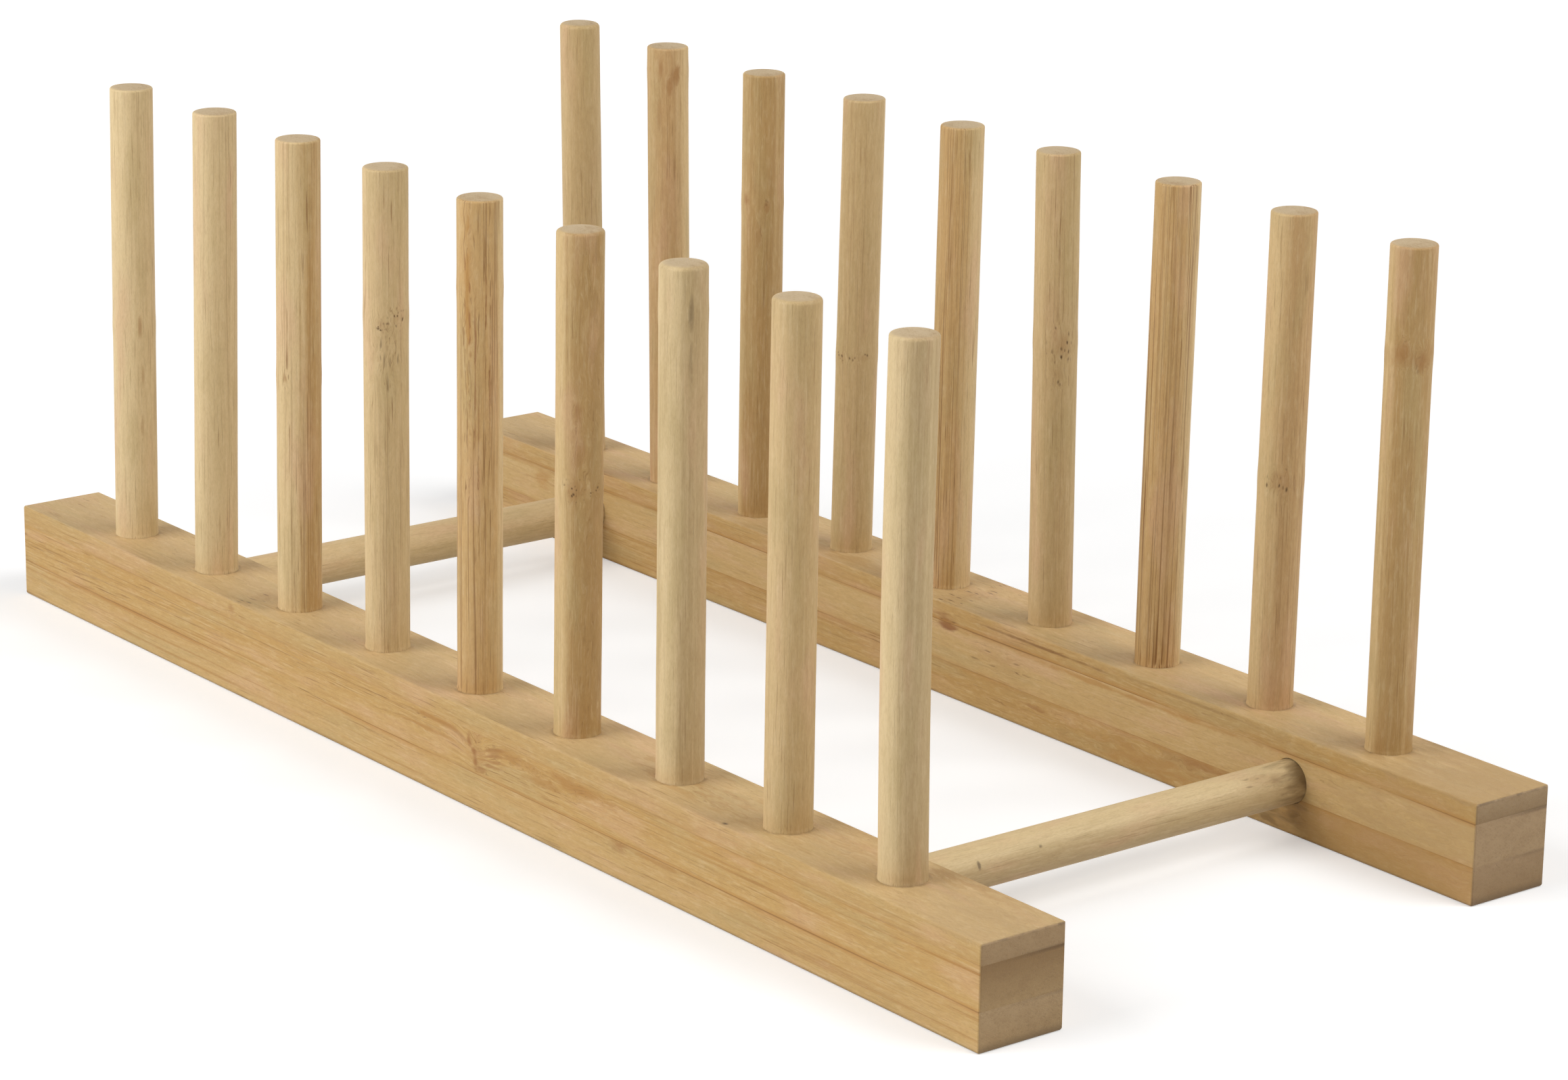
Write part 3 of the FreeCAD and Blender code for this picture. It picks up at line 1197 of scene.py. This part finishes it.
@dataclass(frozen=True)
class Studio:
    """Pale floor, white surroundings, soft lamps and the camera of the photograph.

    Attributes:
        eye: Where the camera stands, in metres.
        azimuth: Which side it looks from, in degrees from -Y towards +X.
        elevation: How steeply it looks down, in degrees.
        roll: Its turn about its own axis, in degrees.
        lens: Its focal length, in millimetres.
        sensor: Width of its sensor, in millimetres.
        floor_size: Width of the floor, in metres.
        floor_drop: How far the floor lies under the rack's foot, in metres.
        floor_white: How much light the floor reflects, from 0 to 1.
        floor_glow: What is added to the floor as it is seen, near the rack and far from it.
        floor_fade: Where that begins and ends to change, in metres from the rack's middle.
        sky: Light that the surroundings give, where 1 is white.
        lamps: The soft lamps.
    """

    eye: tuple[float, float, float] = (0.77023, -0.59126, 0.33110)
    azimuth: float = 51.738
    elevation: float = 16.592
    roll: float = 0.826
    lens: float = 110.44
    sensor: float = 36.0
    floor_size: float = 14.0
    floor_drop: float = 0.05 * MM
    floor_white: float = 0.8
    floor_glow: tuple[float, float] = (0.34, 0.8)
    floor_fade: tuple[float, float] = (0.2, 1.2)
    sky: float = 0.22
    lamps: tuple[Lamp, ...] = (
        Lamp("key", direction=(-0.30, -0.954, 0.65), distance=1.3, size=1.0, share=0.80),
        Lamp("side", direction=(0.852, 0.523, 1.0), distance=1.4, size=0.9, share=0.62),
    )

    def build(self) -> None:
        """Builds the whole set."""
        bpy.context.scene.view_settings.view_transform = "Standard"
        self.build_camera()
        self.build_world()
        self.build_floor()
        low, high = (np.array(corner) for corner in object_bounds())
        for lamp in self.lamps:
            lamp.build((low + high) / 2)
            LOG.info("lamp %s", lamp.name)

    def build_camera(self) -> None:
        """Stands the camera where the photograph was taken."""
        data = bpy.data.cameras.new("camera")
        data.lens = self.lens
        data.sensor_width = self.sensor
        data.sensor_fit = "HORIZONTAL"
        data.clip_start = 0.01
        turn, rise = math.radians(self.azimuth), math.radians(self.elevation)
        back = np.array([math.sin(turn) * math.cos(rise), -math.cos(turn) * math.cos(rise), math.sin(rise)])
        camera = placed("camera", data)
        camera.matrix_world = aimed(np.array(self.eye), back, math.radians(self.roll))
        bpy.context.scene.camera = camera

    @staticmethod
    def seen_directly(w: Wiring) -> Socket:
        """1 for rays from the camera, a mirror or glass, and 0 for rays that carry light.

        Args:
            w: The wiring of a material or of the world.

        Returns:
            The mask.
        """
        path = w.node("ShaderNodeLightPath", {}).outputs
        either = w.math("MAXIMUM", path["Is Camera Ray"], path["Is Glossy Ray"])
        return w.math("MAXIMUM", either, path["Is Transmission Ray"])

    def build_world(self) -> None:
        """White surroundings that give the rack only a soft, even light."""
        world = bpy.data.worlds.new("studio")
        world.use_nodes = True
        w = Wiring(world.node_tree)
        background = world.node_tree.nodes["Background"]
        background.inputs["Color"].default_value = (1.0, 1.0, 1.0, 1.0)
        strength = w.ramp(self.seen_directly(w), 1.0 - self.sky, self.sky)
        w.feed(background.inputs["Strength"], strength)
        bpy.context.scene.world = world

    def build_floor(self) -> None:
        """A pale floor that shows white and keeps the rack's shadow."""
        reach = self.floor_size / 2 * np.array([[-1, -1], [1, -1], [1, 1], [-1, 1]])
        outline = np.column_stack([reach, np.full(4, -self.floor_drop)])
        mesh = bpy.data.meshes.new("floor")
        mesh.from_pydata(outline.tolist(), [], [[0, 1, 2, 3]])
        material = bpy.data.materials.new("floor")
        material.use_nodes = True
        w = Wiring(material.node_tree)
        shader = material.node_tree.nodes["Principled BSDF"]
        shader.inputs["Base Color"].default_value = (*[self.floor_white] * 3, 1.0)
        shader.inputs["Roughness"].default_value = 1.0
        shader.inputs["Specular IOR Level"].default_value = 0.0
        shader.inputs["Emission Color"].default_value = (1.0, 1.0, 1.0, 1.0)
        place = w.node("ShaderNodeTexCoord", {}).outputs["Object"]
        near, far = self.floor_glow
        glow = w.ramp(w.rise(w.length(place), *self.floor_fade), far - near, near)
        w.feed(shader.inputs["Emission Strength"], w.times(self.seen_directly(w), glow))
        mesh.materials.append(material)
        floor = placed("floor", mesh)
        floor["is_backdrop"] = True


# Pegs from the left end: tone, turn and edge of the dense side, lines, then what sets each one apart
# Where a front peg's dense side turns to the right, it is partly painted shade on that side.
FRONT_PEGS = (
    StickLook(
        Tone.IVORY, 60, 0.2, 0.45, lean=(0.7, 0.9), stand=-0.4,
        marks=(spot(-15, 48.5, 0.6, 3.5, 0.5), spot(-8, 38, 0.5, 3.0, 0.35), spot(-12, 26, 0.5, 3.0, 0.3)),
    ),
    StickLook(Tone.IVORY, 30, 0.0, 0.44, lean=(1.0, 1.2), stand=-0.1),
    StickLook(
        Tone.WHEAT, 30, 0.6, 0.68, lean=(0.6, 0.8), stand=-0.1,
        marks=(spot(-70, 51.5, 0.8, 1.8, 0.5),),
    ),
    StickLook(
        Tone.STRAW, 20, 0.3, 0.55, lean=(0.2, 0.4),
        marks=(
            spot(-4, 71.5, 2.4, 2.2, 0.25, 1.0, dash=1.2),
            spot(-47, 70.5, 1.9, 1.5, 0.2, 0.9),
            spot(-36, 62, 3.2, 6.0, 0.0, 0.5, dash=5.0),
        ),
    ),
    StickLook(
        Tone.HONEY, -85, -0.2, 0.66, lean=(0.2, 0.3), stand=-0.1,
        marks=(
            spot(-65, 84, 0.9, 26, 0.7, stain=STAINS_AND_SHADES.amber),
            spot(-60, 76, 0.3, 26, 0.6, stain=STAINS_AND_SHADES.rust),
            spot(-74, 88, 0.25, 16, 0.5, stain=STAINS_AND_SHADES.rust),
            spot(-46, 66, 0.3, 24, 0.6, stain=STAINS_AND_SHADES.rust),
            spot(-38, 52, 0.25, 20, 0.5, stain=STAINS_AND_SHADES.rust),
            spot(-20, 82, 0.25, 9, 0.5, stain=STAINS_AND_SHADES.rust),
            spot(-10, 64, 0.25, 12, 0.45, stain=STAINS_AND_SHADES.rust),
        ),
    ),
    StickLook(
        Tone.AMBER, 28, 0.0, 0.35, lean=(0.3, 0.4), top_round=0.7, stand=-0.2,
        marks=(
            spot(-34, 51, 3.4, 2.4, 0.25, 1.0),
            spot(-36, 67, 1.6, 2.5, 0.4),
            spot(-30, 58, 1.4, 3.5, 0.3),
            spot(14, 55, 3.4, 80, 0.35, stain=Colour(150, 118, 72)),
        ),
    ),
    StickLook(
        Tone.CREAM, 22, 0.45, 0.2, top_round=0.9, stand=-0.2,
        marks=(
            spot(-20, 93, 0.7, 4.0, 0.5, stain=STAINS_AND_SHADES.speck),
            spot(-18, 84, 0.6, 5.0, 0.25, stain=STAINS_AND_SHADES.speck),
        ),
    ),
    StickLook(Tone.TAN, 10, 0.5, 0.25, lean=(0.1, 0.2), top_round=0.8, stand=0.1),
    StickLook(Tone.CREAM, 22, 0.3, 0.06, bow=(-0.2, -0.3), top_round=0.7, stand=0.3),
)

REAR_PEGS = (
    StickLook(Tone.TAN, 0, 0.3, 0.28, lean=(-1.0, -1.3), top_round=1.0, stand=1.0),
    StickLook(
        Tone.BROWN, -75, 0.2, 0.35, lean=(-0.8, -1.0), stand=0.9,
        marks=(
            spot(-14, 97.5, 1.5, 3.2, 0.65),
            spot(-56, 99, 1.0, 3.0, 0.55),
            spot(-32, 94.5, 0.9, 2.6, 0.5),
            spot(-62, 88, 0.8, 5.0, 0.3),
        ),
    ),
    StickLook(
        Tone.AMBER, -20, 0.2, 0.30, stand=0.2,
        marks=(
            spot(-26, 73, 0.9, 1.6, 0.4, 0.3),
            spot(-86, 74, 1.3, 2.0, 0.6),
            spot(-50, 66, 1.2, 4.0, 0.25),
        ),
    ),
    StickLook(
        Tone.TAN, -40, 0.4, 0.35, skin_soft=0.25, lean=(0.7, 0.9), stand=0.2,
        marks=(spot(-30, 45, 2.2, 1.3, 0.2, 0.9, dash=1.4), spot(-85, 45, 1.4, 1.0, 0.15, 0.8)),
    ),
    StickLook(Tone.HONEY, -85, 0.4, 0.72, lean=(0.4, 0.6)),
    StickLook(
        Tone.TAN, 0, 0.4, 0.5, lean=(-0.8, -0.9), stand=0.3,
        marks=(spot(-22, 62, 3.0, 4.5, 0.3, 1.0, dash=2.0), spot(-30, 56, 2.0, 3.0, 0.2, 0.8, dash=2.0)),
    ),
    StickLook(Tone.HONEY, -80, 0.1, 0.88, lean=(0.4, 0.6)),
    StickLook(
        Tone.BROWN, 30, 0.1, 0.48, lean=(0.3, 0.5), stand=0.2,
        marks=(spot(-50, 48, 2.6, 2.6, 0.25, 0.9, dash=2.0),),
    ),
    StickLook(
        Tone.AMBER, 0, 0.05, 0.4, stand=0.1,
        marks=(
            Mark((0, 0, 81), (0, 0, 2.6), 0.2),
            spot(-65, 82, 1.5, 2.4, 0.45),
            spot(-18, 80, 2.0, 2.4, 0.5, 0.3, dash=2.0),
        ),
    ),
)

SPREADERS = {
    # The left spreader's dense side faces down, which is partly painted shade on its underside.
    "left": StickLook(Tone.STRAW, 150, 0.2, 0.15),
    "right": StickLook(
        Tone.CREAM, 130, 0.4, 0.15,
        marks=(
            spot(65, 19.4, 1.0, 0.45, 0.7, stain=STAINS_AND_SHADES.soil_and_shade),
            spot(60, 34.9, 0.5, 0.6, 0.6, stain=STAINS_AND_SHADES.speck),
            spot(45, 95, 1.6, 7.0, 0.25, 0.5, dash=4.0),
            # Painted shadow of the rear rail over the spreader's rear end.
            spot(60, 107, 7.5, 12.0, 0.8, stain=STAINS_AND_SHADES.shade),
        ),
    ),
}

# Strips from the table up: pale and dense colour, skin side up or not, lines, bands, marks, sawn colours
FRONT_RAIL = {
    "base": StripLook(
        Colour(202, 168, 111), Colour(197, 160, 101), True, 0.42, 0.45,
        (
            Mark((-72, 7.2, 62), (3, 1.3, 4), 0.65),
            Mark((-72, 7.3, 73), (3, 0.6, 10), 0.5, stain=STAINS_AND_SHADES.figure),
        ),
        (Colour(166, 137, 96), Colour(174, 146, 108)),
    ),
    "core": StripLook(
        Colour(198, 161, 100), Colour(193, 154, 92), True, 0.6, 0.75,
        (
            Mark((-72, 12.6, 13.4), (6, 5.0, 3.4), 0.3, dip=3.4),
            Mark((-72, 16.4, 10.6), (6, 1.6, 1.2), 0.85),
            Mark((-72, 14.2, 12.4), (6, 2.2, 1.3), 0.95),
            Mark((-72, 11.6, 12.8), (6, 2.2, 1.2), 0.9),
            Mark((-72, 10.0, 14.8), (6, 0.7, 2.8), 0.7),
            Mark((-72, 15.6, 19), (6, 0.55, 7), 0.65),
            Mark((-72, 14.2, 19.5), (6, 0.55, 7.5), 0.65),
            Mark((-72, 12.8, 19), (6, 0.55, 6.5), 0.6),
            Mark((-72, 11.5, 18.5), (6, 0.5, 5), 0.6),
            Mark((-72, 15.0, 25), (6, 1.5, 12), 0.55, stain=STAINS_AND_SHADES.figure),
            Mark((-72, 15.8, 0), (6, 0.8, 13), 0.7, stain=STAINS_AND_SHADES.figure),
            Mark((-72, 13.0, -4), (6, 0.6, 14), 0.55, stain=STAINS_AND_SHADES.figure),
            Mark((-72, 12.6, 37), (6, 1.2, 9), 0.5, stain=STAINS_AND_SHADES.figure),
            Mark((-72, 15.0, 47), (6, 2.0, 14), 0.65, stain=STAINS_AND_SHADES.figure),
        ),
        (Colour(167, 138, 96), Colour(135, 105, 66)),
    ),
    "face": StripLook(
        Colour(195, 160, 102), Colour(191, 155, 97), False, 0.4, 0.4,
        (
            Mark((-66, 21, -78), (6, 2, 3.5), 0.2, 1.0, dash=4.0),
            Mark((-72, 19.5, -80), (2.5, 1.6, 2.0), 0.45),
            Mark((-71, 21, 94), (0.9, 0.9, 1.3), 0.9, stain=STAINS_AND_SHADES.speck),
            # Painted shade on the top, at the near end and along the middle between the pegs.
            Mark((-62, 21, 164), (0, 1.0, 26), 0.3, stain=STAINS_AND_SHADES.painted_top_shade),
            Mark((-61.5, 21, 0), (5.0, 1.0, 0), 0.28, stain=STAINS_AND_SHADES.painted_top_shade),
        ),
        (Colour(159, 131, 94), Colour(163, 135, 98)),
    ),
}

REAR_RAIL = {
    "base": StripLook(
        Colour(196, 160, 100), Colour(189, 151, 90), True, 0.40, 0.5,
        (
            Mark((52, 4, 150), (0, 0, 95), 0.55, stain=Colour(172, 132, 78)),
            Mark((52, 3, 78), (4, 3.0, 24), 0.4, stain=STAINS_AND_SHADES.amber),
            Mark((52, 7.0, 95), (4, 1.5, 14), 0.55),
            Mark((52, 5.4, 42), (4, 0.5, 6), 0.6),
            # Painted shadow of the right spreader on the rail's inner face.
            Mark((52, 4.5, 110), (5, 6.5, 14), 0.7, stain=STAINS_AND_SHADES.shade),
        ),
        (Colour(147, 119, 82), Colour(161, 133, 98)),
    ),
    "core": StripLook(
        Colour(205, 172, 116), Colour(200, 166, 109), False, 0.30, 0.3,
        (
            Mark((52, 12.5, 30), (4, 2.5, 9), 0.15, 0.5, dash=6.0),
            Mark((52, 16.0, 11.5), (4, 1.2, 3.5), 0.85, stain=STAINS_AND_SHADES.rust),
            Mark((52, 14, -140), (4, 3, 4), 0.45, stain=STAINS_AND_SHADES.amber),
            Mark((52, 15.9, 64), (4, 0.7, 50), 0.6, stain=STAINS_AND_SHADES.amber),
            Mark((52, 12, 178), (0, 0, 58), 0.6, stain=Colour(184, 150, 100)),
        ),
        (Colour(167, 139, 102), Colour(169, 141, 105)),
    ),
    "face": StripLook(
        Colour(197, 160, 100), Colour(191, 153, 92), False, 0.40, 0.4,
        (
            Mark((61, 21, 10), (9.5, 2, 5), 0.2, 1.0, dash=4.0),
            Mark((53, 17.4, 11.0), (4, 1.4, 4.0), 0.9, 0.7, stain=STAINS_AND_SHADES.rust, dash=3.0),
            Mark((52, 19.2, 45), (3, 0.4, 22), 0.75, stain=STAINS_AND_SHADES.glue),
            Mark((52, 19.8, 88), (3, 0.4, 30), 0.3, stain=STAINS_AND_SHADES.glue),
            # Painted shade on the top, at the near end and along the middle between the pegs.
            Mark((62, 21, 162), (0, 1.0, 34), 0.45, stain=STAINS_AND_SHADES.painted_top_shade),
            Mark((62, 21, 0), (5.0, 1.0, 0), 0.22, stain=STAINS_AND_SHADES.painted_top_shade),
            Mark((52, 19, 178), (0, 0, 58), 0.4, stain=Colour(178, 142, 88)),
        ),
        (Colour(142, 116, 81), Colour(164, 138, 103)),
    ),
}


def main() -> None:
    """Builds the rack's looks in order, then the studio."""
    logging.basicConfig(level=logging.INFO, format="%(message)s")
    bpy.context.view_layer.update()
    effects = BambooEffects()
    front_planed = (Colour(201, 170, 120), Colour(194, 163, 112))
    rear_planed = (Colour(205, 173, 122), Colour(198, 165, 113))
    Rail("front", FRONT_RAIL, glue=(0.9, 0.35), planed=front_planed, first_seed=101).dress(effects)
    Rail("rear", REAR_RAIL, glue=(0.5, 0.9), planed=rear_planed, first_seed=111).dress(effects)
    PegRow("front", FRONT_PEGS, first_seed=20).build(effects)
    PegRow("rear", REAR_PEGS, first_seed=40).build(effects)
    Spreaders(SPREADERS, first_seed=60).build(effects)
    Studio().build()


if __name__ == "__main__":
    main()
